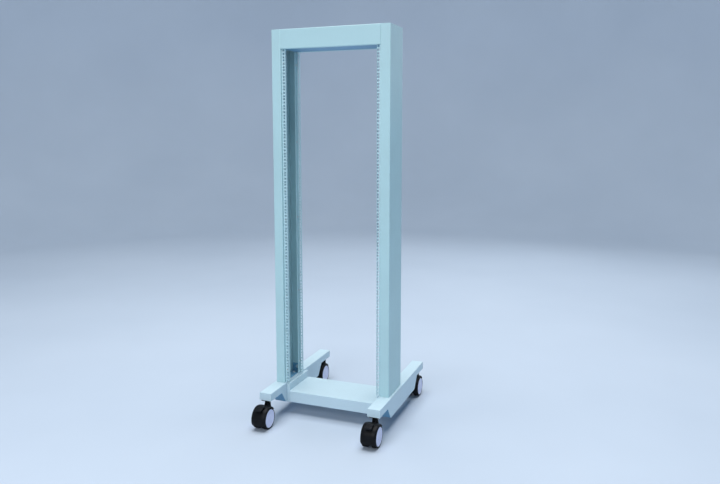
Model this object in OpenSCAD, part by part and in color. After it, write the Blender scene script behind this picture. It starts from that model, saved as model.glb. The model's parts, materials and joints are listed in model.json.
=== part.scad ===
// Open 19-inch equipment rack on four twin-wheel swivel casters.
// +X is to the right seen from the front, +Y runs to the back and +Z is up.
// The origin is on the floor, under the middle of the whole rack's outer box.

/* [Frame] */
// Outer width across the two uprights
rack_w = 580; // [560:1:600]
// Depth of each upright, front to back
upright_d = 180; // [160:1:200]
// Rack units between the feet and the header
units = 36; // [24:1:42]
// Height of the header beam
header_h = 89; // [80:1:100]
// Thickness of the folded sheet of uprights, header and tray
sheet = 2; // [1.5:0.5:2.5]
// Outer radius of the folds
fold_r = 3; // [3:0.5:4]

/* [Rails] */
// Clear width between the perforated rails
opening_w = 450; // [448:1:452]
// Distance between the left and the right column of holes
hole_span = 465.1; // [464:0.1:466]
// Width of a rail's mounting face
rail_w = 20; // [19:0.5:21]
// Depth of the rail's face behind the upright's face
rail_recess = 8; // [6:0.5:12]
// Side of the rail's square cage-nut holes
rail_hole = 9.5; // [9:0.1:10]

/* [Feet] */
// Width of a foot
foot_w = 60; // [60:1:64]
// How far a foot reaches ahead of the uprights' middle
foot_front = 245; // [235:1:275]
// How far a foot reaches behind the uprights' middle
foot_rear = 455; // [440:1:500]
// Height of a foot's thin tips
tip_h = 36; // [32:1:42]
// Height of a foot's deep middle part
foot_h = 95; // [80:1:100]
// Length of a thin tip
tip_l = 115; // [105:1:120]
// Length of the slope between tip and deep part
slope_l = 42; // [30:1:50]
// Thickness of the feet's sheet
foot_sheet = 2.5; // [2:0.5:3]

/* [Tray] */
// Front edge of the tray ahead of the uprights' middle
tray_front = 80; // [70:1:90]
// Rear edge of the tray behind the uprights' middle
tray_rear = 138; // [110:1:160]
// Depth of the tray's top below the feet's top
tray_drop = 42; // [38:1:46]
// Height of the tray's folded faces
tray_h = 56; // [50:1:60]

/* [Casters] */
// Wheel diameter
wheel_d = 100; // [90:1:102]
// Overall width across both wheels of a caster
caster_w = 72; // [70:1:76]
// Distance from the swivel axis to the wheels' axle
trail = 46; // [42:1:48]
// Distance from a foot's end to the swivel axis
stem_inset = 24; // [24:1:28]
// Height of a caster from the floor to its plate's top
caster_h = 124; // [122:1:130]

/* [Hidden] */
$fn = 48;
bore_gap = 0.05;
// Gap between bodies that stay clear of each other, and between sheets that nest loosely
clear = 0.3;
sheet_gap = 1;
// How far a cut runs past the faces it opens, and how far a joined shape reaches into its neighbour
cut = 1;

// Rack standard: one unit, and its three hole heights above the unit's lower edge
unit_h = 44.45;
unit_holes = [6.35, 22.225, 38.1];

// Heights
foot_top = caster_h + tip_h;
foot_bottom = foot_top - foot_h;
header_bottom = foot_top + units * unit_h;
rack_top = header_bottom + header_h;
upright_h = rack_top - foot_top;
tray_top = foot_top - tray_drop;
tray_bottom = tray_top - tray_h;

// Uprights and rails
side_x = rack_w / 2;
inner_x = opening_w / 2;
channel_x = inner_x + rail_w;
channel_w = side_x - channel_x;
half_d = upright_d / 2;
lip_d = 25;
rail_web_d = 25;
rail_return_d = 12;
rail_gap = 2;
rail_bottom = foot_top + rail_gap / 2;
rail_top = header_bottom - rail_gap / 2;
rail_screw_y = half_d - 20;
rail_screws_n = 5;
rail_screw_inset = 60;

// Upright base brackets
base_plate = 3;
base_leg_h = 42;
base_bolt_y = 55;
leg_bolt_z = foot_top + 26;
base_x = (channel_x + side_x) / 2;
leg_bolt_x = base_x - 5;

// Header and the caps on the uprights' tops
header_lip = 20;
header_bolt_inset = 24;
header_bolt_y = half_d - 14;
header_bolt_zs = [header_bottom + header_bolt_inset, rack_top - header_bolt_inset];
cap_skirt_h = 14;
cap_skirt_inset = 20;

// Feet
foot_outer_x = side_x + 10;
foot_x = foot_outer_x - foot_w / 2;
foot_inner_x = foot_outer_x - foot_w;

// Tray and its brackets
bracket_w = 14;
bracket_top = foot_top - 8;
tray_x = foot_inner_x - bracket_w;
tray_lip = 16;
tray_bolt_ys = [-50, 30, 110];
tray_bolt_z = tray_top - 30;

// Casters
wheel_r = wheel_d / 2;
plate_t = 3;
plate_size = [50, 46];
plate_r = 6;
plate_screw = [19, 14];
race_r = 17;
race_h = 3.7;
swivel_gap = 0.5;
pin_r = 5.5;
pin_end = 86;
pin_bore_end = 84;
barrel_r = 14;
barrel_bottom = 80;
barrel_top = caster_h - plate_t - race_h - swivel_gap;
hood_gap = 3;
hood_t = 4;
hood_r = wheel_r + hood_gap + hood_t;
hood_half_w = caster_w / 2 - 1;
web_half = 7;
wheel_in = web_half + 1;
wheel_out = caster_w / 2;
hub_in = web_half + 0.4;
axle_r = 5;
hub_r = 11;
rim_r = 43.5;
rim_t = 4;
rim_lip = 1.3;
rim_in = wheel_in + 2;
dish_in = wheel_in + 8;
dish_t = 4;
cap_fit = 0.2;
cap_r = rim_r - rim_lip - cap_fit;
cap_t = 3;
rim_step = 0.5;
cap_in = wheel_out - cap_t - rim_step;
tyre_round = 6;
tyre_band = 3 * tyre_round;
axle_half = wheel_out - cap_t - 1;
hub_out = axle_half - 0.5;

// Outline of a wheel's cover disc from its middle outward: radius, and depth below the wheel's outer plane
cap_outline = [[0, 0], [12, 0.2], [15, 1.2], [cap_r - 9, 1.6], [cap_r - 5, 0.8], [cap_r - 1.2, 0.4],
               [cap_r, 1.2]];

// The hood's arc about the axle: from below the front, over the top, to the swivel barrel
hood_low_angle = -25;
hood_back_angle = 40;

// Brake pedal on the hood's crown
pivot_angle = 70;
pivot_r = hood_r + 5;
pedal_half_w = 16;
pedal_l = 34;
pedal_t = 4;
pedal_tilt = 15;
pedal_lip = 5;
pedal_eye_r = 4.5;
pedal_pin_r = 2.5;
ear_t = 3;
ear_gap = 0.5;
pedal_pin_half = pedal_half_w + ear_gap + ear_t;

// Hexagon bolt sizes: thread radius, across corners radius, head height
m8 = [4, 7.5, 5.3];
m6 = [3, 5.77, 4];
m5 = [2.5, 4.6, 3];
nut_ratio = 0.8;
thread_end = 2;

// The outer box runs from the front hoods to the feet's rear ends, so its middle sits behind the uprights
stem_ys = [-foot_front + stem_inset, foot_rear - stem_inset];
reach_front = foot_front - stem_inset + trail + hood_r;
upright_y = (reach_front - foot_rear) / 2;

// ---------------------------------------------------------------- helpers

// Moves a piece drawn about the uprights' middle into the rack's own frame
module in_rack() {
    translate([0, upright_y, 0]) children();
}

// Draws a right-hand piece, mirrored for the left side
module on_side(side) {
    mirror([side < 0 ? 1 : 0, 0, 0]) children();
}

module rounded_rect(size, r) {
    translate([r, 0]) square([size.x - 2 * r, size.y]);
    translate([0, r]) square([size.x, size.y - 2 * r]);
    for (x = [r, size.x - r], y = [r, size.y - r]) translate([x, y]) circle(r);
}

// Section of a closed tube of folded sheet, with its corner at the origin
module tube_section(size, t, r) {
    difference() {
        rounded_rect(size, r);
        translate([t, t]) rounded_rect([size.x - 2 * t, size.y - 2 * t], r - t);
    }
}

// Extrudes a section drawn in Y and Z along X, from x0 to x1
module along_x(x0, x1) {
    translate([x0, 0, 0]) rotate([90, 0, 90]) linear_extrude(height = x1 - x0) children();
}

function reversed(list) = [for (i = [len(list) - 1:-1:0]) list[i]];

// Round bar along X, from x0 to x1
module bar_x(r, x0, x1) {
    translate([x0, 0, 0]) rotate([0, 90, 0]) cylinder(r = r, h = x1 - x0);
}

// Bolt along +Z through a stack of sheets: head below z = 0, nut above the grip
module bolt(size, grip) {
    nut_h = size[2] * nut_ratio;
    translate([0, 0, -size[2]]) cylinder(r = size[1], h = size[2], $fn = 6);
    cylinder(r = size[0], h = grip + nut_h + thread_end);
    translate([0, 0, grip]) cylinder(r = size[1], h = nut_h, $fn = 6);
}

// ---------------------------------------------------------------- frame

module upright_section() {
    difference() {
        translate([channel_x, -half_d]) tube_section([channel_w, upright_d], sheet, fold_r);
        translate([channel_x - cut, -half_d + lip_d]) square([sheet + 2 * cut, upright_d - 2 * lip_d]);
    }
}

// Centres of the rail screws, evenly spread up the rail
function rail_screw_zs() = [for (i = [0:rail_screws_n - 1])
    rail_bottom + rail_screw_inset + i * (rail_top - rail_bottom - 2 * rail_screw_inset) / (rail_screws_n - 1)];

module upright(side) {
    color("#aeb9bb") in_rack() on_side(side) difference() {
        translate([0, 0, foot_top]) linear_extrude(height = upright_h) upright_section();
        for (y = [-header_bolt_y, header_bolt_y], z = header_bolt_zs)
            translate([0, y, z]) bar_x(m8[0], channel_x - cut, channel_x + sheet + cut);
        for (y = [-rail_screw_y, rail_screw_y], z = rail_screw_zs())
            translate([0, y, z]) bar_x(m5[0], channel_x - cut, channel_x + sheet + cut);
        translate([leg_bolt_x, half_d - sheet - cut, leg_bolt_z]) rotate([-90, 0, 0])
            cylinder(r = m8[0], h = sheet + 2 * cut);
    }
}

module upright_base(side) {
    x0 = channel_x + sheet + sheet_gap;
    w = side_x - sheet - sheet_gap - x0;
    rear = half_d - sheet;
    front = -half_d + sheet + sheet_gap;
    color("#9ba6aa") in_rack() on_side(side) difference() {
        union() {
            translate([x0, front, foot_top]) cube([w, rear - front, base_plate]);
            translate([x0, rear - base_plate, foot_top]) cube([w, base_plate, base_leg_h]);
        }
        for (y = [-base_bolt_y, base_bolt_y])
            translate([base_x, y, foot_top - cut]) cylinder(r = m8[0], h = base_plate + 2 * cut);
        translate([leg_bolt_x, rear - base_plate - cut, leg_bolt_z]) rotate([-90, 0, 0])
            cylinder(r = m8[0], h = base_plate + 2 * cut);
    }
}

module top_cap(side) {
    x0 = channel_x + sheet + clear;
    w = side_x - sheet - clear - x0;
    d = upright_d - 2 * (sheet + clear);
    color("#aeb9bb") in_rack() on_side(side) translate([x0, -d / 2, rack_top]) {
        translate([0, 0, -sheet]) cube([w, d, sheet]);
        translate([w - sheet, cap_skirt_inset, -cap_skirt_h])
            cube([sheet, d - 2 * cap_skirt_inset, cap_skirt_h - sheet]);
    }
}

// Perforated angle: a mounting face with square holes, a web against the upright's lip and a stiff inner return
module rail_section() {
    face_y = -half_d + rail_recess;
    difference() {
        translate([inner_x, face_y]) tube_section([rail_w, rail_web_d + fold_r], sheet, fold_r);
        translate([inner_x - cut, face_y + rail_return_d])
            square([rail_w - sheet + cut, rail_web_d + fold_r]);
        translate([inner_x - cut, face_y + rail_web_d]) square([rail_w + 2 * cut, fold_r + cut]);
    }
}

module rail(side, end) {
    color("#b4c0c2") in_rack() on_side(side) mirror([0, end > 0 ? 1 : 0, 0]) difference() {
        translate([0, 0, rail_bottom]) linear_extrude(height = rail_top - rail_bottom) rail_section();
        for (u = [0:units - 1], h = unit_holes)
            translate([(hole_span - rail_hole) / 2, -half_d + rail_recess - cut,
                       foot_top + u * unit_h + h - rail_hole / 2])
                cube([rail_hole, sheet + 2 * cut, rail_hole]);
        for (z = rail_screw_zs())
            translate([0, -rail_screw_y, z]) bar_x(m5[0], channel_x - sheet - cut, channel_x + cut);
    }
}

module header_shell() {
    color("#b4bfc1") in_rack() difference() {
        union() {
            along_x(-channel_x, channel_x) difference() {
                translate([-half_d, header_bottom]) tube_section([upright_d, header_h], sheet, fold_r);
                translate([-half_d + header_lip, header_bottom - cut])
                    square([upright_d - 2 * header_lip, sheet + cut]);
            }
            for (s = [-1, 1]) on_side(s)
                translate([channel_x - sheet, -half_d + sheet / 2, header_bottom + sheet / 2])
                    cube([sheet, upright_d - sheet, header_h - sheet]);
        }
        for (s = [-1, 1], y = [-header_bolt_y, header_bolt_y], z = header_bolt_zs)
            on_side(s) translate([0, y, z]) bar_x(m8[0], channel_x - sheet - cut, channel_x + cut);
    }
}

module header_cover() {
    half_x = channel_x - sheet - sheet_gap;
    half_y = half_d - sheet - sheet_gap;
    color("#a9b4b7") in_rack() translate([-half_x, -half_y, header_bottom + sheet])
        cube([2 * half_x, 2 * half_y, sheet]);
}

// ---------------------------------------------------------------- feet and tray

// Lower edge of a foot in Y and Z, from front to back, raised by h
function foot_floor(h) = [
    [-foot_front, caster_h + h],
    [-foot_front + tip_l, caster_h + h],
    [-foot_front + tip_l + slope_l, foot_bottom + h],
    [foot_rear - tip_l - slope_l, foot_bottom + h],
    [foot_rear - tip_l, caster_h + h],
    [foot_rear, caster_h + h]
];

module foot(side) {
    color("#c3ced1") in_rack() on_side(side) difference() {
        intersection() {
            along_x(foot_inner_x, foot_outer_x)
                polygon(concat(foot_floor(0), [[foot_rear, foot_top], [-foot_front, foot_top]]));
            translate([0, foot_rear, 0]) rotate([90, 0, 0])
                linear_extrude(height = foot_front + foot_rear)
                    translate([foot_inner_x, foot_bottom - fold_r])
                        rounded_rect([foot_w, foot_h + fold_r], fold_r);
        }
        translate([foot_inner_x + foot_sheet, -foot_front + foot_sheet, foot_bottom - cut])
            cube([foot_w - 2 * foot_sheet, foot_front + foot_rear - 2 * foot_sheet,
                  foot_h - foot_sheet + cut]);
        for (y = [-base_bolt_y, base_bolt_y])
            translate([base_x, y, foot_top - foot_sheet - cut])
                cylinder(r = m8[0], h = foot_sheet + 2 * cut);
        for (y = tray_bolt_ys)
            translate([0, y, tray_bolt_z])
                bar_x(m8[0], foot_inner_x - cut, foot_inner_x + foot_sheet + cut);
    }
}

// Folded sheet that closes a foot from below and carries the casters
module foot_pan(side) {
    color("#8e9aa0") in_rack() on_side(side) difference() {
        intersection() {
            along_x(foot_inner_x + foot_sheet, foot_outer_x - foot_sheet)
                polygon(concat(foot_floor(0), reversed(foot_floor(foot_sheet))));
            translate([foot_inner_x, -foot_front + foot_sheet, 0])
                cube([foot_w, foot_front + foot_rear - 2 * foot_sheet, rack_top]);
        }
        for (y = stem_ys, sx = [-1, 1], sy = [-1, 1])
            translate([foot_x + sx * plate_screw.x, y + sy * plate_screw.y, caster_h - cut])
                cylinder(r = m6[0], h = foot_sheet + 2 * cut);
    }
}

// Flat tube, closed above and open below, that stands between a foot's inner panel and the tray's end
module tray_bracket(side) {
    size = [bracket_w, tray_front + tray_rear];
    color("#d3dcde") in_rack() on_side(side) difference() {
        translate([tray_x, -tray_front, tray_bottom]) {
            linear_extrude(height = bracket_top - tray_bottom) tube_section(size, sheet, fold_r);
            translate([0, 0, bracket_top - tray_bottom - sheet])
                linear_extrude(height = sheet) rounded_rect(size, fold_r);
        }
        for (y = tray_bolt_ys)
            translate([0, y, tray_bolt_z]) bar_x(m8[0], tray_x - cut, foot_inner_x + cut);
    }
}

// Folded pan with its open side down, and an end plate at each side
module base_tray() {
    depth = tray_front + tray_rear;
    color("#d7e0e2") in_rack() difference() {
        union() {
            along_x(-tray_x, tray_x) difference() {
                translate([-tray_front, tray_bottom]) tube_section([depth, tray_h], sheet, fold_r);
                translate([-tray_front + tray_lip, tray_bottom - cut])
                    square([depth - 2 * tray_lip, sheet + cut]);
            }
            for (s = [-1, 1]) on_side(s)
                translate([tray_x - sheet, -tray_front + sheet / 2, tray_bottom + sheet / 2])
                    cube([sheet, depth - sheet, tray_h - sheet]);
        }
        for (s = [-1, 1], y = tray_bolt_ys)
            on_side(s) translate([0, y, tray_bolt_z]) bar_x(m8[0], tray_x - sheet - cut, tray_x + cut);
    }
}

// ---------------------------------------------------------------- fasteners

module frame_bolts() {
    color("#c9ccce") in_rack() for (s = [-1, 1]) on_side(s) {
        for (y = [-header_bolt_y, header_bolt_y], z = header_bolt_zs)
            translate([channel_x + sheet, y, z]) rotate([0, -90, 0]) bolt(m8, 2 * sheet);
        for (y = [-base_bolt_y, base_bolt_y])
            translate([base_x, y, foot_top + base_plate]) rotate([180, 0, 0])
                bolt(m8, base_plate + foot_sheet);
        for (y = tray_bolt_ys)
            translate([tray_x - sheet, y, tray_bolt_z]) rotate([0, 90, 0])
                bolt(m8, sheet + bracket_w + foot_sheet);
        translate([leg_bolt_x, half_d - sheet - base_plate, leg_bolt_z]) rotate([-90, 0, 0])
            bolt(m8, base_plate + sheet);
    }
}

module rail_screws() {
    color("#c9ccce") in_rack() for (s = [-1, 1]) on_side(s)
        for (y = [-rail_screw_y, rail_screw_y], z = rail_screw_zs())
            translate([channel_x - sheet, y, z]) rotate([0, 90, 0]) bolt(m5, 2 * sheet);
}

module caster_screws() {
    color("#c9ccce") in_rack() for (s = [-1, 1], y = stem_ys) on_side(s)
        for (sx = [-1, 1], sy = [-1, 1])
            translate([foot_x + sx * plate_screw.x, y + sy * plate_screw.y, caster_h - plate_t])
                bolt(m6, plate_t + foot_sheet);
}

// ---------------------------------------------------------------- casters

// Places a caster drawn about its swivel axis: side -1 is left, end -1 is front
module at_stem(side, end) {
    in_rack() on_side(side) translate([foot_x, end < 0 ? stem_ys[0] : stem_ys[1], 0]) children();
}

// Places a piece drawn about the axle, which trails ahead of the swivel axis
module at_axle(side, end) {
    at_stem(side, end) translate([0, -trail, wheel_r]) children();
}

module caster_plate(side, end) {
    color("#23262b") at_stem(side, end) {
        difference() {
            translate([-plate_size.x / 2, -plate_size.y / 2, caster_h - plate_t])
                linear_extrude(height = plate_t) rounded_rect(plate_size, plate_r);
            for (sx = [-1, 1], sy = [-1, 1])
                translate([sx * plate_screw.x, sy * plate_screw.y, caster_h - plate_t - cut])
                    cylinder(r = m6[0], h = plate_t + 2 * cut);
        }
        translate([0, 0, caster_h - plate_t - race_h])
            cylinder(r1 = race_r - race_h, r2 = race_r, h = race_h);
        translate([0, 0, pin_end]) cylinder(r = pin_r, h = caster_h - plate_t - pin_end);
    }
}

// Sector of the hood's ring about the axle, drawn in Y and Z
module hood_arc() {
    steps = 12;
    from = 180 - hood_low_angle;
    to = hood_back_angle;
    reach = 2 * hood_r;
    intersection() {
        difference() {
            circle(hood_r);
            circle(wheel_r + hood_gap);
        }
        polygon(concat([[0, 0]], [for (i = [0:steps])
            let (a = from + (to - from) * i / steps) reach * [cos(a), sin(a)]]));
    }
}

// Web between the wheels: the upper part of a disc, with the boss that holds the axle
module hood_web() {
    intersection() {
        circle(wheel_r + hood_gap + cut);
        translate([-hood_r, -hub_r]) square([2 * hood_r, hood_r + hub_r]);
    }
}

// Two ears on the hood's crown that hold the pedal's pin
module pedal_ears() {
    root_r = wheel_r + hood_gap + cut;
    for (s = [-1, 1]) on_side(s)
        along_x(pedal_half_w + ear_gap, pedal_pin_half) rotate(90 - pivot_angle) {
            translate([0, pivot_r]) circle(pedal_eye_r);
            translate([-pedal_eye_r, root_r]) square([2 * pedal_eye_r, pivot_r - root_r]);
        }
}

module hood(side, end) {
    color("#17191d") at_axle(side, end) difference() {
        union() {
            along_x(-hood_half_w, hood_half_w) hood_arc();
            along_x(-web_half, web_half) hood_web();
            translate([0, trail, barrel_bottom - wheel_r])
                cylinder(r = barrel_r, h = barrel_top - barrel_bottom);
            if (end < 0) pedal_ears();
        }
        for (s = [-1, 1]) on_side(s) bar_x(wheel_r + hood_gap, web_half, wheel_out + cut);
        bar_x(axle_r, -web_half - cut, web_half + cut);
        translate([0, trail, pin_bore_end - wheel_r]) cylinder(r = pin_r + bore_gap, h = caster_h);
        if (end < 0) translate(pivot_r * [0, -cos(pivot_angle), sin(pivot_angle)])
            bar_x(pedal_pin_r + bore_gap, -pedal_pin_half - cut, pedal_pin_half + cut);
    }
}

module axle(side, end) {
    color("#b9bdc2") at_axle(side, end) bar_x(axle_r, -axle_half, axle_half);
}

// Turns a half-section drawn in radius and axial place about the axle, on the outer or the inner side
module wheel_turn(side, end, face) {
    at_axle(side, end) mirror([face < 0 ? 1 : 0, 0, 0]) rotate([0, 90, 0])
        rotate_extrude($fn = 96) children();
}

// Core of a wheel: hub, dished disc and rim
module wheel(side, end, face) {
    bore = axle_r + bore_gap;
    color("#3b3e44") wheel_turn(side, end, face) {
        translate([bore, hub_in]) square([hub_r - bore, hub_out - hub_in]);
        translate([hub_r - cut, dish_in]) square([rim_r - hub_r - cut, dish_t]);
        translate([rim_r - rim_t, rim_in]) square([rim_t, cap_in - rim_in]);
        translate([rim_r - rim_lip, rim_in]) square([rim_lip, wheel_out - 1 - rim_in]);
    }
}

module tyre(side, end, face) {
    w = wheel_out - wheel_in;
    color("#121317") wheel_turn(side, end, face) intersection() {
        translate([rim_r, wheel_in]) square([wheel_r - rim_r, w]);
        translate([wheel_r - tyre_band, wheel_in]) rounded_rect([tyre_band, w], tyre_round);
    }
}

// Light cover disc: a shallow dish with a raised middle
module cap(side, end, face) {
    color("#c6cbe0") wheel_turn(side, end, face)
        polygon(concat([[0, cap_in], [cap_r, cap_in]],
                       [for (p = reversed(cap_outline)) [p.x, wheel_out - p.y]]));
}

module brake_pedal(side, end) {
    color("#2a2d33") at_axle(side, end)
        translate(pivot_r * [0, -cos(pivot_angle), sin(pivot_angle)]) {
            along_x(-pedal_half_w, pedal_half_w) rotate(pedal_tilt) {
                circle(pedal_eye_r);
                translate([-pedal_l, -pedal_t / 2]) square([pedal_l, pedal_t]);
                translate([-pedal_l, -pedal_t / 2]) square([pedal_t, pedal_lip + pedal_t / 2]);
            }
            bar_x(pedal_pin_r, -pedal_pin_half, pedal_pin_half);
        }
}

// ---------------------------------------------------------------- nodes

upright(-1);  // left_upright
upright(1);  // right_upright
upright_base(-1);  // left_upright_base
upright_base(1);  // right_upright_base
top_cap(-1);  // left_top_cap
top_cap(1);  // right_top_cap
rail(-1, -1);  // front_left_rail
rail(1, -1);  // front_right_rail
rail(-1, 1);  // rear_left_rail
rail(1, 1);  // rear_right_rail
header_shell();
header_cover();
foot(-1);  // left_foot
foot(1);  // right_foot
foot_pan(-1);  // left_foot_pan
foot_pan(1);  // right_foot_pan
base_tray();
tray_bracket(-1);  // left_tray_bracket
tray_bracket(1);  // right_tray_bracket
frame_bolts();
rail_screws();
caster_screws();
caster_plate(-1, -1);  // front_left_caster_plate
caster_plate(1, -1);  // front_right_caster_plate
caster_plate(-1, 1);  // rear_left_caster_plate
caster_plate(1, 1);  // rear_right_caster_plate
hood(-1, -1);  // front_left_hood
hood(1, -1);  // front_right_hood
hood(-1, 1);  // rear_left_hood
hood(1, 1);  // rear_right_hood
axle(-1, -1);  // front_left_axle
axle(1, -1);  // front_right_axle
axle(-1, 1);  // rear_left_axle
axle(1, 1);  // rear_right_axle
wheel(-1, -1, 1);  // front_left_outer_wheel
wheel(1, -1, 1);  // front_right_outer_wheel
wheel(-1, 1, 1);  // rear_left_outer_wheel
wheel(1, 1, 1);  // rear_right_outer_wheel
wheel(-1, -1, -1);  // front_left_inner_wheel
wheel(1, -1, -1);  // front_right_inner_wheel
wheel(-1, 1, -1);  // rear_left_inner_wheel
wheel(1, 1, -1);  // rear_right_inner_wheel
tyre(-1, -1, 1);  // front_left_outer_tyre
tyre(1, -1, 1);  // front_right_outer_tyre
tyre(-1, 1, 1);  // rear_left_outer_tyre
tyre(1, 1, 1);  // rear_right_outer_tyre
tyre(-1, -1, -1);  // front_left_inner_tyre
tyre(1, -1, -1);  // front_right_inner_tyre
tyre(-1, 1, -1);  // rear_left_inner_tyre
tyre(1, 1, -1);  // rear_right_inner_tyre
cap(-1, -1, 1);  // front_left_outer_cap
cap(1, -1, 1);  // front_right_outer_cap
cap(-1, 1, 1);  // rear_left_outer_cap
cap(1, 1, 1);  // rear_right_outer_cap
cap(-1, -1, -1);  // front_left_inner_cap
cap(1, -1, -1);  // front_right_inner_cap
cap(-1, 1, -1);  // rear_left_inner_cap
cap(1, 1, -1);  // rear_right_inner_cap
brake_pedal(-1, -1);  // front_left_brake_pedal
brake_pedal(1, -1);  // front_right_brake_pedal
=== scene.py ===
"""Looks of the open 19-inch rack: paint and plastic, rounded edges, moulded casters, fasteners, studio and camera."""

import json
import math

import bmesh
import bpy
from mathutils import Matrix, Vector


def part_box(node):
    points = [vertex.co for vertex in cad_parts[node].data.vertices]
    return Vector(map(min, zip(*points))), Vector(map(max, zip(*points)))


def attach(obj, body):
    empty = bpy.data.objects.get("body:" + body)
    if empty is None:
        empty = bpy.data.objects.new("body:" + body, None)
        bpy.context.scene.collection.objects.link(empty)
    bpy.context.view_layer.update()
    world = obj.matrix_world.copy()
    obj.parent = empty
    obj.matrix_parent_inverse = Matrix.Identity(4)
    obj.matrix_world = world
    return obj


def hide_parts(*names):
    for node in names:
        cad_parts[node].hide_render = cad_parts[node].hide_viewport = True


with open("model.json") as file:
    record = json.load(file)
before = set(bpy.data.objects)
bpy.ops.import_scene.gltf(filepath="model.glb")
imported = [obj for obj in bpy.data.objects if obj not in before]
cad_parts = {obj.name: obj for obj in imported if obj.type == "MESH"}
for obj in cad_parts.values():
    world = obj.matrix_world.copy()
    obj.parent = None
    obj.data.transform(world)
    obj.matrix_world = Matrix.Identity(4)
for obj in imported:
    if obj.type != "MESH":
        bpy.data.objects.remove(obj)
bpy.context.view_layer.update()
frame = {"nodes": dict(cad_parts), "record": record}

NODES = frame["nodes"]
RECORD = frame["record"]
MM = 0.001

JOINT_AT = {joint["name"]: Vector(joint["pos_m"]) for joint in RECORD["behaviour"]["joints"]}
CORNERS = ("front_left", "front_right", "rear_left", "rear_right")

# Camera: where it stands, how it turns, and its lens
CAMERA_AT = Vector((1.2683, -3.1148, 1.3975))
CAMERA_YAW = math.radians(21.552)
CAMERA_PITCH = math.radians(6.914)
CAMERA_ROLL = math.radians(-0.145)
LENS = 35.082
SENSOR = 36.0
SHIFT = (0.0139, -0.0403)


# ---------------------------------------------------------------- materials


def new_material(name):
    """An empty node material and its principled shader."""
    material = bpy.data.materials.new(name)
    material.use_nodes = True
    return material, material.node_tree.nodes["Principled BSDF"]


def add(material, kind, **values):
    """A shader node, with its unlinked inputs and its properties set by name."""
    node = material.node_tree.nodes.new(kind)
    for key, value in values.items():
        if key in node.inputs:
            node.inputs[key].default_value = value
        else:
            setattr(node, key, value)
    return node


def join(material, source, target):
    material.node_tree.links.new(source, target)


def noise(material, scale, detail=3.0, roughness=0.55, stretch=(1, 1, 1)):
    """Object-space noise: scale is in features per metre."""
    place = add(material, "ShaderNodeTexCoord")
    mapping = add(material, "ShaderNodeMapping")
    mapping.inputs["Scale"].default_value = stretch
    join(material, place.outputs["Object"], mapping.inputs["Vector"])
    pattern = add(material, "ShaderNodeTexNoise", Scale=scale, Detail=detail, Roughness=roughness)
    join(material, mapping.outputs["Vector"], pattern.inputs["Vector"])
    return pattern.outputs["Fac"]


def ramp(material, source, stops):
    """A colour ramp through (place, colour) stops."""
    node = add(material, "ShaderNodeValToRGB")
    band = node.color_ramp
    while len(band.elements) < len(stops):
        band.elements.new(0.5)
    for element, (place, colour) in zip(band.elements, stops):
        element.position = place
        element.color = (*colour, 1)
    join(material, source, node.inputs["Fac"])
    return node.outputs["Color"]


def spread(material, source, low, high):
    """Maps a 0 to 1 value to the range low to high."""
    node = add(material, "ShaderNodeMapRange")
    node.inputs["To Min"].default_value = low
    node.inputs["To Max"].default_value = high
    join(material, source, node.inputs["Value"])
    return node.outputs["Result"]


def multiply(material, first, second):
    """Two colours multiplied."""
    node = add(material, "ShaderNodeMix", data_type="RGBA", blend_type="MULTIPLY")
    node.inputs["Factor"].default_value = 1.0
    join(material, first, node.inputs["A"])
    join(material, second, node.inputs["B"])
    return node.outputs["Result"]


def bump(material, shader, source, strength, depth):
    """Bump of a height pattern, on top of any bump before it. depth is in metres."""
    node = add(material, "ShaderNodeBump", Strength=strength, Distance=depth)
    join(material, source, node.inputs["Height"])
    if shader.inputs["Normal"].is_linked:
        join(material, shader.inputs["Normal"].links[0].from_socket, node.inputs["Normal"])
    join(material, node.outputs["Normal"], shader.inputs["Normal"])


def tint(colour, factor):
    return tuple(min(1.0, c * factor) for c in colour)


def powder_coat(name, colour):
    """Powder-coated sheet: cloudy tone, fine speckle, orange peel, and a soft gloss that varies a little."""
    material, shader = new_material(name)
    cloud = ramp(material, noise(material, 4.0, 4.0, 0.6), [(0.3, tint(colour, 0.965)), (0.7, tint(colour, 1.03))])
    speckle = ramp(material, noise(material, 900.0, 1.0), [(0.34, (0.90, 0.91, 0.92)), (0.46, (1.0, 1.0, 1.0))])
    join(material, multiply(material, cloud, speckle), shader.inputs["Base Color"])
    join(material, spread(material, noise(material, 30.0, 5.0), 0.36, 0.52), shader.inputs["Roughness"])
    bump(material, shader, noise(material, 420.0, 2.0), 0.22, 0.0005)
    bump(material, shader, noise(material, 1500.0, 1.0), 0.12, 0.0002)
    shader.inputs["Specular IOR Level"].default_value = 0.3
    return material


def zinc(name):
    """Zinc-plated steel: bright, with bluish and yellowish clouds and fine scratches."""
    material, shader = new_material(name)
    clouds = [(0.3, (0.60, 0.60, 0.58)), (0.6, (0.70, 0.72, 0.74)), (0.8, (0.62, 0.66, 0.72))]
    join(material, ramp(material, noise(material, 160.0), clouds), shader.inputs["Base Color"])
    shader.inputs["Metallic"].default_value = 1.0
    join(material, spread(material, noise(material, 700.0, 4.0), 0.24, 0.46), shader.inputs["Roughness"])
    bump(material, shader, noise(material, 900.0, 4.0, stretch=(1, 1, 6)), 0.12, 0.0002)
    return material


def moulded(name, colour, gloss, grain=900.0, grain_depth=0.00025, shine=0.12, clouds=(0.85, 1.2)):
    """Moulded plastic or rubber: fine eroded grain, and handling marks in the gloss."""
    material, shader = new_material(name)
    tone = [(0.3, tint(colour, clouds[0])), (0.75, tint(colour, clouds[1]))]
    join(material, ramp(material, noise(material, 24.0), tone), shader.inputs["Base Color"])
    join(material, spread(material, noise(material, 90.0, 6.0), *gloss), shader.inputs["Roughness"])
    bump(material, shader, noise(material, grain, 2.0), 0.2, grain_depth)
    shader.inputs["Specular IOR Level"].default_value = shine
    return material


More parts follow.
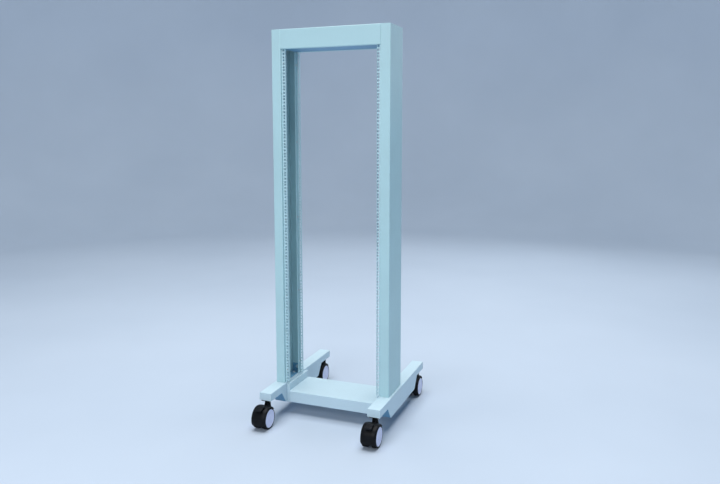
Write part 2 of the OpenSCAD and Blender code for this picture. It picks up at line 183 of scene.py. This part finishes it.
MATERIALS = {
    "frame_paint": powder_coat("frame_paint", (0.48, 0.70, 0.74)),
    "rail_paint": powder_coat("rail_paint", (0.52, 0.73, 0.78)),
    # painted light: foot_paint is the frame's paint made lighter and bluer, for the feet whose tops catch the most
    # light
    "foot_paint": powder_coat("foot_paint", (0.58, 0.74, 0.82)),
    # painted shade: inner_paint is the frame's paint darkened to a deep blue, for the shaded insides of the feet and
    # pans
    "inner_paint": powder_coat("inner_paint", (0.16, 0.36, 0.54)),
    "zinc_steel": zinc("zinc_steel"),
    "caster_metal": moulded("caster_metal", (0.012, 0.013, 0.016), (0.3, 0.45), 500.0),
    "caster_plastic": moulded("caster_plastic", (0.006, 0.0065, 0.008), (0.3, 0.48)),
    "pedal_plastic": moulded("pedal_plastic", (0.011, 0.012, 0.015), (0.35, 0.5)),
    "wheel_plastic": moulded("wheel_plastic", (0.03, 0.033, 0.038), (0.4, 0.55)),
    "tyre_rubber": moulded("tyre_rubber", (0.006, 0.006, 0.008), (0.55, 0.75), 1400.0),
    "cap_plastic": moulded("cap_plastic", (0.68, 0.71, 0.92), (0.25, 0.38), 1500.0, 0.0001, 0.45, (0.97, 1.03)),
}


# ---------------------------------------------------------------- the CAD nodes' finish


WELD_DISTANCE = 1e-6
EDGE_ROUNDING = 0.35
EDGE_SEGMENTS = 2
EDGE_ANGLE = 40


def dress_cad_nodes():
    """Gives every CAD node its slot's material, welded shading and slightly rounded cut edges."""
    for part in RECORD["subparts"]:
        node = NODES[part["node"]]
        node.data.materials.clear()
        node.data.materials.append(MATERIALS[part["material_slot"]])
        weld = node.modifiers.new("weld", "WELD")
        weld.merge_threshold = WELD_DISTANCE
        rounding = node.modifiers.new("rounding", "BEVEL")
        rounding.width = EDGE_ROUNDING * MM
        rounding.segments = EDGE_SEGMENTS
        rounding.limit_method = "ANGLE"
        rounding.angle_limit = math.radians(EDGE_ANGLE)
        rounding.harden_normals = True


# ---------------------------------------------------------------- mesh helpers


def finish_piece(name, mesh, slot, body, replaced, smooth_angle=32):
    """Turns a mesh into a visible piece that rides on a body and stands for a CAD node."""
    mesh.materials.clear()
    mesh.materials.append(MATERIALS[slot])
    mesh.shade_smooth()
    mesh.set_sharp_from_angle(angle=math.radians(smooth_angle))
    piece = bpy.data.objects.new(name, mesh)
    bpy.context.scene.collection.objects.link(piece)
    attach(piece, body)
    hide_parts(replaced)
    return piece


def to_mesh(name, build):
    """A mesh in metres from a bmesh drawn in millimetres, with clean outward normals."""
    bmesh.ops.recalc_face_normals(build, faces=build.faces)
    bmesh.ops.scale(build, vec=(MM, MM, MM), verts=build.verts)
    mesh = bpy.data.meshes.new(name)
    build.to_mesh(mesh)
    build.free()
    return mesh


def placed(mesh, name, matrix):
    """A copy of a mesh moved by a matrix, with its faces kept outward when the matrix mirrors."""
    copy = mesh.copy()
    copy.name = name
    copy.transform(matrix)
    if matrix.determinant() < 0:
        copy.flip_normals()
    return copy


def skin(build, rings, closed=True):
    """Quads between neighbouring rings of points; open ends are closed with a face."""
    rows = [[build.verts.new(point) for point in ring] for ring in rings]
    count = len(rows[0])
    pairs = list(zip(rows, rows[1:] + rows[:1])) if closed else list(zip(rows, rows[1:]))
    for first, second in pairs:
        for i in range(count):
            j = (i + 1) % count
            build.faces.new((first[i], first[j], second[j], second[i]))
    if not closed:
        build.faces.new(rows[0][::-1])
        build.faces.new(rows[-1])


def lathe(build, outline, segments, start=0.0):
    """Turns a closed outline of (radius, place along X) about the X axis; a radius of 0 becomes a pole."""
    rings = []
    for radius, x in outline:
        if radius == 0:
            rings.append([build.verts.new((x, 0, 0))])
            continue
        angles = [start + math.tau * i / segments for i in range(segments)]
        rings.append([build.verts.new((x, radius * math.cos(a), radius * math.sin(a))) for a in angles])
    for first, second in zip(rings, rings[1:] + rings[:1]):
        for i in range(segments):
            j = (i + 1) % segments
            corners = [ring[k % len(ring)] for ring, k in ((first, i), (first, j), (second, j), (second, i))]
            corners = list(dict.fromkeys(corners))
            if len(corners) > 2:
                build.faces.new(corners)


def arc(centre, radius, start, end, steps):
    """Points on an arc, from one angle to another in degrees."""
    angles = [math.radians(start + (end - start) * i / steps) for i in range(steps + 1)]
    return [(centre[0] + radius * math.cos(a), centre[1] + radius * math.sin(a)) for a in angles]


def slab(build, outline, half, edge):
    """A plate across X with the outline given in Y and Z, its rim rounded over by edge."""
    points = [Vector(point) for point in outline]
    count = len(points)
    inward = []
    for i in range(count):
        before, after = points[i] - points[i - 1], points[(i + 1) % count] - points[i]
        sum_of = (before.normalized() + after.normalized()).normalized()
        inward.append(Vector((-sum_of.y, sum_of.x)))
    rings = []
    for turn in (90, 60, 30, 0):
        rings.append((-half + edge * (1 - math.sin(math.radians(turn))), edge * (1 - math.cos(math.radians(turn)))))
    rings += [(-x, drop) for x, drop in reversed(rings)]
    skin(build, [[(x, *(p + n * drop)) for p, n in zip(points, inward)] for x, drop in rings], closed=False)


def united(name, builds, cuts=()):
    """One closed mesh in metres from solids in millimetres: some that overlap and are joined, some cut away."""
    objects = []
    for index, build in enumerate([*builds, *cuts]):
        bmesh.ops.recalc_face_normals(build, faces=build.faces)
        mesh = bpy.data.meshes.new(f"{name}_{index}")
        build.to_mesh(mesh)
        build.free()
        objects.append(bpy.data.objects.new(mesh.name, mesh))
        bpy.context.scene.collection.objects.link(objects[-1])
    base = objects[0]
    for index, other in enumerate(objects[1:], 1):
        change = base.modifiers.new(other.name, "BOOLEAN")
        change.operation = "UNION" if index < len(builds) else "DIFFERENCE"
        change.solver = "MANIFOLD"
        change.object = other
    mesh = bpy.data.meshes.new_from_object(base.evaluated_get(bpy.context.evaluated_depsgraph_get()))
    mesh.name = name
    for piece in objects:
        bpy.data.objects.remove(piece)
    mesh.transform(Matrix.Scale(MM, 4))
    return mesh


# ---------------------------------------------------------------- casters
#
# A caster is drawn in millimetres about its axle: X across, Y to the back and Z up.

WHEEL_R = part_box("rear_left_outer_tyre")[1].z / 2 / MM
TRAIL = (JOINT_AT["front_left_swivel"].y - JOINT_AT["front_left_outer_roll"].y) / MM
HOOD_HALF_W = (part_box("rear_left_hood")[1].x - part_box("rear_left_hood")[0].x) / 2 / MM
HOOD_R = (JOINT_AT["rear_left_outer_roll"].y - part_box("rear_left_hood")[0].y) / MM
HOOD_T = 4.0
HOOD_FROM, HOOD_TO = 205.0, 38.0
HOOD_CORNER = 12.0
SHOULDER_AT = 14.0
SHOULDER_DROP = 6.0
SHOULDER_FULLNESS = 0.92
INNER_W_RATIO = 0.985
INNER_DROP_RATIO = 0.55
FENDER_STEPS = 44
WEB_HALF = 6.8
HUB_R = 11.0
BARREL_R = 14.0
BARREL_FROM, BARREL_TO = 30.0, (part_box("rear_left_hood")[1].z / MM) - WHEEL_R
PIVOT = (JOINT_AT["front_left_brake"] - JOINT_AT["front_left_outer_roll"]) / MM
EYE_R = 4.5
EAR_IN, EAR_OUT = 16.6, 19.4
SWEPT_R = 50.8
SWEPT_FROM, SWEPT_TO = 7.2, 29.0
SWEPT_SEGMENTS = 128
PEDAL_PIN_R = 2.5
BORE_GAP = 0.1
BORE_SEGMENTS = 48
BARREL_SEGMENTS = 64
SWIVEL_PIN_R = 5.5
SWIVEL_PIN_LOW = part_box("rear_left_caster_plate")[0].z / MM - WHEEL_R


def shoulder(x):
    """How far the hood's crown falls away at a place across it, from 0 to 1."""
    reach = max(0.0, abs(x) - SHOULDER_AT) / (HOOD_HALF_W - SHOULDER_AT)
    return 1 - math.sqrt(max(0.0, 1 - min(1.0, reach) ** 2 * SHOULDER_FULLNESS))


def fender_section(half_w):
    """Cross-section of the hood's fender as (x, radius): crowned, thin at its rounded edges."""
    across = [half_w * math.sin(math.radians(a)) for a in range(-90, 91, 9)]
    outer = [(x, HOOD_R - SHOULDER_DROP * shoulder(x)) for x in across]
    inner = [(x * INNER_W_RATIO, HOOD_R - HOOD_T - INNER_DROP_RATIO * SHOULDER_DROP * shoulder(x))
             for x in reversed(across)]
    return outer + inner


def fender_half_w(distance):
    """The fender's half width at a distance from its lower front edge, whose corners are round."""
    if distance >= HOOD_CORNER:
        return HOOD_HALF_W
    return HOOD_HALF_W - HOOD_CORNER + math.sqrt(HOOD_CORNER**2 - (HOOD_CORNER - distance) ** 2)


def fender():
    """The hood's fender: a crowned shell that runs from below the front, over the top, to the barrel."""
    build = bmesh.new()
    full = math.radians(HOOD_FROM - HOOD_TO) * HOOD_R
    near = [HOOD_CORNER * (1 - math.cos(math.radians(a))) for a in range(15, 90, 15)]
    places = near + [HOOD_CORNER + (full - HOOD_CORNER) * i / FENDER_STEPS for i in range(FENDER_STEPS + 1)]
    rings = []
    for place in places:
        angle = math.radians(HOOD_FROM) - place / HOOD_R
        section = fender_section(fender_half_w(place))
        rings.append([(x, r * math.cos(angle), r * math.sin(angle)) for x, r in section])
    skin(build, rings, closed=False)
    return build


def web():
    """The plate between the wheels that carries the axle."""
    build = bmesh.new()
    outline = arc((0, 0), HOOD_R - 2, 20, 196, 40) + arc((0, 0), HUB_R, 225, 330, 12)
    slab(build, outline, WEB_HALF, 1.0)
    return build


def stand_at_stem(build):
    """Turns a solid drawn along X upright, on the line of the swivel pin."""
    bmesh.ops.rotate(build, verts=build.verts, matrix=Matrix.Rotation(-math.pi / 2, 3, "Y"))
    bmesh.ops.translate(build, verts=build.verts, vec=(0, TRAIL, 0))
    return build


def barrel():
    """The swivel barrel, flared where it grows out of the hood and grooved under its top."""
    build = bmesh.new()
    top = BARREL_TO
    outline = [(0, BARREL_FROM), (BARREL_R + 1.5, BARREL_FROM), (BARREL_R + 1.5, BARREL_FROM + 8)]
    outline += [(BARREL_R + 2 * (1 - t) ** 2, BARREL_FROM + 8 + 14 * t) for t in (0.25, 0.5, 0.75, 1.0)]
    outline += [(BARREL_R, top - 5), (BARREL_R - 0.8, top - 4.4), (BARREL_R - 0.8, top - 3.2)]
    outline += [(BARREL_R, top - 2.6), (BARREL_R, top - 0.8), (BARREL_R - 0.8, top), (0, top)]
    lathe(build, outline, BARREL_SEGMENTS)
    return stand_at_stem(build)


def gusset(x):
    """A rib that stiffens the barrel's front, down to the hood's crown."""
    build = bmesh.new()
    crown = HOOD_R - 1.5
    outline = [(TRAIL - 2, 28), (TRAIL - 2, BARREL_TO - 7), (TRAIL - BARREL_R - 1, BARREL_TO - 9)]
    outline += [(TRAIL - BARREL_R - 3, BARREL_TO - 14)] + arc((0, 0), crown, 66, 96, 8) + [(0, 46)]
    slab(build, outline, 1.6, 0.5)
    bmesh.ops.translate(build, verts=build.verts, vec=(x, 0, 0))
    return build


def ear(side):
    """One of the two ears that hold the brake pedal's pin."""
    build = bmesh.new()
    lean = math.degrees(math.atan2(PIVOT.z, PIVOT.y))
    foot_r = HOOD_R - 3.5
    outline = arc((PIVOT.y, PIVOT.z), EYE_R, lean - 90, lean + 90, 12)
    outline += arc((0, 0), foot_r, lean + 8, lean - 8, 4)
    slab(build, outline, (EAR_OUT - EAR_IN) / 2, 0.5)
    bmesh.ops.translate(build, verts=build.verts, vec=(side * (EAR_IN + EAR_OUT) / 2, 0, 0))
    return build


def swept(side):
    """The space that one tyre turns in, cut out of the hood."""
    half = (SWEPT_TO - SWEPT_FROM) / 2
    build = x_bar(SWEPT_R, half, (0, 0), 0.3, SWEPT_SEGMENTS)
    bmesh.ops.translate(build, verts=build.verts, vec=(side * (SWEPT_FROM + half), 0, 0))
    return build


def pin_bore():
    """The bore of the swivel pin, down into the barrel."""
    build = bmesh.new()
    radius = SWIVEL_PIN_R + BORE_GAP
    low, high = SWIVEL_PIN_LOW - 0.5, BARREL_TO + 1
    lathe(build, [(0, low), (radius, low), (radius, high), (0, high)], BORE_SEGMENTS)
    return stand_at_stem(build)


def hood_mesh(name, with_ears):
    """A whole hood, clear of its tyres, of the swivel pin and of the pedal's pin."""
    solids = [fender(), web(), barrel(), gusset(-7), gusset(7)]
    cuts = [swept(-1), swept(1), pin_bore()]
    if with_ears:
        solids += [ear(-1), ear(1)]
        cuts.append(x_bar(PEDAL_PIN_R + BORE_GAP, EAR_OUT + 1, PIVOT.yz, 0.3, BORE_SEGMENTS))
    return united(name, solids, cuts)


def pedal_mesh():
    """The brake pedal: a curved paddle with grip ribs and an upturned lip, on its hub and pin."""
    paddle = bmesh.new()
    top = [(-2 - 28 * t, 2.2 - 8.8 * t + 1.6 * math.sin(math.pi * t)) for t in [i / 8 for i in range(9)]]
    lip = arc((-31.4, -2.6), 1.8, 20, 190, 6)
    under = [(-33.2, -8.6), (-31.6, -10.2)] + [(-30 + 28 * t, -9.8 + 7.8 * t) for t in [i / 6 for i in range(7)]]
    slab(paddle, top + lip + under, 15.6, 0.8)
    solids = [paddle, x_bar(EYE_R, 15.9, (0, 0), 0.6), x_bar(PEDAL_PIN_R, EAR_OUT + 0.1, (0, 0), 0.5)]
    for t in (0.3, 0.5, 0.7, 0.88):
        solids.append(x_bar(0.9, 12.5, (-2 - 28 * t, 2.0 - 8.8 * t + 1.6 * math.sin(math.pi * t)), 0.4))
    mesh = united("pedal", solids)
    mesh.transform(Matrix.Translation(PIVOT * MM))
    return mesh


def x_bar(radius, half, centre, edge, segments=32):
    """A round bar along X with chamfered ends."""
    build = bmesh.new()
    outline = [(0, -half), (radius - edge, -half), (radius, -half + edge)]
    outline += [(radius, half - edge), (radius - edge, half), (0, half)]
    lathe(build, outline, segments)
    bmesh.ops.translate(build, verts=build.verts, vec=(0, *centre))
    return build


TYRE_IN = 8.0
TYRE_OUT = 36.0
TYRE_ROUND = 6.0
RIM_R = 43.5
CAP_R = 42.0
WHEEL_SEGMENTS = 96


def tyre_mesh():
    """A tyre ring on the +X side: round shoulders, two fine grooves in its tread, and a bead line on its wall."""
    build = bmesh.new()
    outline = [(RIM_R, TYRE_IN)]
    outline += [(WHEEL_R - TYRE_ROUND + y, TYRE_IN + TYRE_ROUND + x) for x, y in arc((0, 0), TYRE_ROUND, 180, 90, 8)]
    for groove in (TYRE_IN + 10.5, TYRE_OUT - 10.5):
        outline += [(WHEEL_R, groove - 0.8), (WHEEL_R - 0.7, groove - 0.4)]
        outline += [(WHEEL_R - 0.7, groove + 0.4), (WHEEL_R, groove + 0.8)]
    outline += [(WHEEL_R - TYRE_ROUND + y, TYRE_OUT - TYRE_ROUND + x) for x, y in arc((0, 0), TYRE_ROUND, 90, 10, 8)]
    outline += [(WHEEL_R - TYRE_ROUND - 0.1, TYRE_OUT), (RIM_R + 0.35, TYRE_OUT), (RIM_R, TYRE_OUT - 0.35)]
    lathe(build, outline, WHEEL_SEGMENTS)
    return to_mesh("tyre", build)


def cap_mesh():
    """The light cover disc on the +X side: a rolled edge, a shallow dish, a step and a domed middle."""
    build = bmesh.new()
    back = TYRE_OUT - 3.5
    outline = [(0, back), (CAP_R, back), (CAP_R, TYRE_OUT - 1.6)]
    outline += [(CAP_R - 1.2 + x, TYRE_OUT - 1.6 + y) for x, y in arc((0, 0), 1.2, 0, 90, 6)]
    dish = [(CAP_R - 4.2, 0.4), (CAP_R - 5.0, 1.1), (CAP_R - 9, 1.9), (30.6, 2.0), (30.0, 2.5), (26, 2.6), (18, 2.3)]
    dome = [(14.2, 1.8), (13.2, 0.8), (12.2, 0.35), (7, 0.1), (0, 0)]
    outline += [(radius, TYRE_OUT - depth) for radius, depth in dish + dome]
    lathe(build, outline, WHEEL_SEGMENTS)
    return to_mesh("cap", build)


def add_casters():
    """Every caster's hood, tyres, discs and brake pedal, in place of their CAD nodes."""
    hoods = {"front": hood_mesh("front_hood", True), "rear": hood_mesh("rear_hood", False)}
    pedal, tyre, cap = pedal_mesh(), tyre_mesh(), cap_mesh()
    for corner in CORNERS:
        end, side = corner.split("_")
        at_axle = Matrix.Translation(JOINT_AT[f"{corner}_outer_roll"])
        name = f"{corner}_hood_moulding"
        finish_piece(name, placed(hoods[end], name, at_axle), "caster_plastic", f"{corner}_swivel", f"{corner}_hood")
        if end == "front":
            name = f"{corner}_brake_paddle"
            finish_piece(name, placed(pedal, name, at_axle), "pedal_plastic", f"{corner}_brake",
                         f"{corner}_brake_pedal")
        for face in ("outer", "inner"):
            right_hand = (side == "right") == (face == "outer")
            turn = at_axle if right_hand else at_axle @ Matrix.Scale(-1, 4, (1, 0, 0))
            body = f"{corner}_{face}_wheel"
            name = f"{corner}_{face}_tyre_ring"
            finish_piece(name, placed(tyre, name, turn), "tyre_rubber", body, f"{corner}_{face}_tyre")
            name = f"{corner}_{face}_cover_disc"
            finish_piece(name, placed(cap, name, turn), "cap_plastic", body, f"{corner}_{face}_cap")


# ---------------------------------------------------------------- fasteners
#
# The CAD holds each group of screws as plain prisms. Each one's place, turn and lengths are read off its own mesh.

HEX_SIDES = 6
BOLT_SEGMENTS = 24
THREAD_PITCH = 1.1
THREAD_DEPTH = 0.5
LEVEL_TOLERANCE = 0.02
GROUPS = {"frame_bolts": 4.0, "rail_screws": 2.5, "caster_screws": 3.0}


def islands(node):
    """The loose pieces of a CAD node, each as a list of points in millimetres."""
    build = bmesh.new()
    build.from_mesh(NODES[node].data)
    bmesh.ops.remove_doubles(build, verts=build.verts, dist=WELD_DISTANCE)
    left = set(build.verts)
    found = []
    while left:
        group, edge = set(), {left.pop()}
        while edge:
            group |= edge
            edge = {e.other_vert(v) for v in edge for e in v.link_edges} - group
        left -= group
        found.append([v.co / MM for v in group])
    build.free()
    return sorted(found, key=lambda points: tuple(round(c, 1) for c in points_box(points)[0]))


def points_box(points):
    return [Vector([pick(p[i] for p in points) for i in range(3)]) for pick in (min, max)]


def bolt_axis(size):
    """The axis that a hexagon prism stands along, found by the ratio of its flats to its corners across it."""
    def error(i):
        across = sorted(size[j] for j in range(3) if j != i)
        return abs(across[0] / across[1] - math.sin(math.radians(60)))
    return min(range(3), key=error)


def hexagon(radius, angle):
    """Radius of a hexagon, given by its corners' radius, at an angle from a corner."""
    lean = (angle % (math.tau / HEX_SIDES)) - math.pi / HEX_SIDES
    return radius * math.cos(math.pi / HEX_SIDES) / math.cos(lean)


def bolt_rings(levels, hex_r, thread_r):
    """Rings of a bolt from its head's top along +Z, as (height, radius by angle)."""
    head, grip, nut, tip = (levels[i] - levels[0] for i in range(1, 5))
    flat = hex_r * math.cos(math.pi / HEX_SIDES)
    chamfer = [(0.0, 0.94), (0.25, 1.0), (0.55, 1.075), (0.9, 1.16)]
    rings = [(0.35, flat * 0.3, False), (0.3, flat * 0.62, False), (0.0, flat * 0.7, False)]
    rings += [(z, flat * k, True) for z, k in chamfer]
    rings += [(head - 1.2, hex_r, True), (head - 1.1, hex_r * 1.02, False), (head - 0.7, hex_r * 1.12, False)]
    rings += [(head, hex_r * 1.12, False), (head, thread_r, False), (grip, thread_r, False)]
    rings += [(grip + z, flat * k, True) for z, k in chamfer[:3]]
    rings += [(nut - z, flat * k, True) for z, k in reversed(chamfer[:3])]
    rings += [(nut, thread_r, False)]
    z = nut + THREAD_PITCH / 2
    while z + THREAD_PITCH / 2 < tip - 0.5:
        rings += [(z, thread_r - THREAD_DEPTH, False), (z + THREAD_PITCH / 2, thread_r, False)]
        z += THREAD_PITCH
    rings += [(tip - 0.5, thread_r, False), (tip, thread_r - 0.6, False)]
    return rings


def bolt(build, points, thread_r):
    """Adds a detailed flange bolt with its nut where one plain CAD bolt is."""
    low, high = points_box(points)
    axis = bolt_axis(high - low)
    middle = (low + high) / 2
    levels = sorted({round(p[axis], 2) for p in points})
    others = [j for j in range(3) if j != axis]
    hex_r = max(high[j] - low[j] for j in others) / 2
    ends = []
    for level in (levels[0], levels[-1]):
        at_level = [p for p in points if abs(p[axis] - level) < LEVEL_TOLERANCE]
        ends.append(max(math.hypot(*(p[j] - middle[j] for j in others)) for p in at_level))
    way = 1 if ends[0] > ends[1] else -1
    if way < 0:
        levels = [-level for level in reversed(levels)]
    along = Vector([way if j == axis else 0 for j in range(3)])
    corner_on = max(others, key=lambda j: high[j] - low[j])
    corner = Vector([1 if j == corner_on else 0 for j in range(3)])
    start = middle.copy()
    start[axis] = way * levels[0]
    levels = [levels[0], levels[1], levels[2], levels[3], levels[-1]]
    rows = []
    for z, radius, is_hex in bolt_rings(levels, hex_r, thread_r):
        row = []
        for i in range(BOLT_SEGMENTS):
            a = math.tau * i / BOLT_SEGMENTS
            reach = min(radius, hexagon(hex_r, a)) if is_hex else radius
            out = corner * math.cos(a) + along.cross(corner) * math.sin(a)
            row.append(start + along * z + out * reach)
        rows.append(row)
    skin(build, rows, closed=False)


def add_fasteners():
    """Flange bolts with chamfered heads, nuts and threads, in place of the CAD's three groups of plain ones."""
    for group, thread_r in GROUPS.items():
        build = bmesh.new()
        for points in islands(group):
            bolt(build, points, thread_r)
        name = f"{group}_set"
        finish_piece(name, to_mesh(name, build), "zinc_steel", "root", group)


# ---------------------------------------------------------------- stage, light and camera


FLOOR_R, CURVE_R, WALL_H = 6.0, 3.0, 4.0
STAGE_SEGMENTS = 96
LIGHT_AIM = Vector((0, 0, 0.9))


def add_stage():
    """A pale round studio bowl: a flat floor that curves up into its wall."""
    build = bmesh.new()
    rise = [(FLOOR_R + x, CURVE_R + y) for x, y in arc((0, 0), CURVE_R, -90, 0, 16)]
    outline = [(FLOOR_R / 4, 0.0), (FLOOR_R / 2, 0.0)] + rise + [(FLOOR_R + CURVE_R, CURVE_R + WALL_H)]
    rings = []
    for radius, height in outline:
        angles = [math.tau * i / STAGE_SEGMENTS for i in range(STAGE_SEGMENTS)]
        rings.append([build.verts.new((radius * math.cos(a), radius * math.sin(a), height)) for a in angles])
    build.faces.new(rings[0])
    for first, second in zip(rings, rings[1:]):
        for i in range(STAGE_SEGMENTS):
            j = (i + 1) % STAGE_SEGMENTS
            build.faces.new((first[i], first[j], second[j], second[i]))
    bmesh.ops.recalc_face_normals(build, faces=build.faces)
    mesh = bpy.data.meshes.new("studio")
    build.to_mesh(mesh)
    build.free()
    mesh.materials.append(stage_material())
    mesh.shade_smooth()
    stage = bpy.data.objects.new("studio", mesh)
    bpy.context.scene.collection.objects.link(stage)


def stage_material():
    material, shader = new_material("studio_paint")
    tone = [(0.3, (0.49, 0.57, 0.68)), (0.7, (0.53, 0.61, 0.72))]
    join(material, ramp(material, noise(material, 0.6), tone), shader.inputs["Base Color"])
    shader.inputs["Roughness"].default_value = 0.7
    return material


def add_light(name, place, size, power, colour):
    """A square soft light that faces the middle of the rack."""
    data = bpy.data.lights.new(name, "AREA")
    data.size = size
    data.energy = power
    data.color = colour
    lamp = bpy.data.objects.new(name, data)
    bpy.context.scene.collection.objects.link(lamp)
    lamp.location = place
    aim = LIGHT_AIM - Vector(place)
    lamp.rotation_euler = aim.to_track_quat("-Z", "Y").to_euler()


def add_lights():
    add_light("key", (-0.1, -4.7, 3.0), 2.2, 88, (1.0, 0.98, 0.95))
    add_light("top", (0.0, 0.0, 7.5), 6.0, 640, (1.0, 1.0, 1.0))
    add_light("back", (0.5, 4.6, 2.8), 2.4, 28, (0.95, 0.98, 1.0))


def add_world():
    world = bpy.data.worlds.new("sky")
    world.use_nodes = True
    sky = world.node_tree.nodes["Background"]
    sky.inputs["Color"].default_value = (0.35, 0.78, 1.0, 1)
    sky.inputs["Strength"].default_value = 0.1
    bpy.context.scene.world = world


def add_camera():
    data = bpy.data.cameras.new("camera")
    data.lens = LENS
    data.sensor_width = SENSOR
    data.shift_x, data.shift_y = SHIFT
    camera = bpy.data.objects.new("camera", data)
    bpy.context.scene.collection.objects.link(camera)
    turn = Matrix.Rotation(CAMERA_YAW, 4, "Z") @ Matrix.Rotation(math.pi / 2 - CAMERA_PITCH, 4, "X")
    camera.matrix_world = Matrix.Translation(CAMERA_AT) @ turn @ Matrix.Rotation(CAMERA_ROLL, 4, "Z")
    bpy.context.scene.camera = camera


bpy.context.scene.view_settings.view_transform = "Standard"
add_camera()
add_world()
add_lights()
add_stage()
dress_cad_nodes()
add_casters()
add_fasteners()
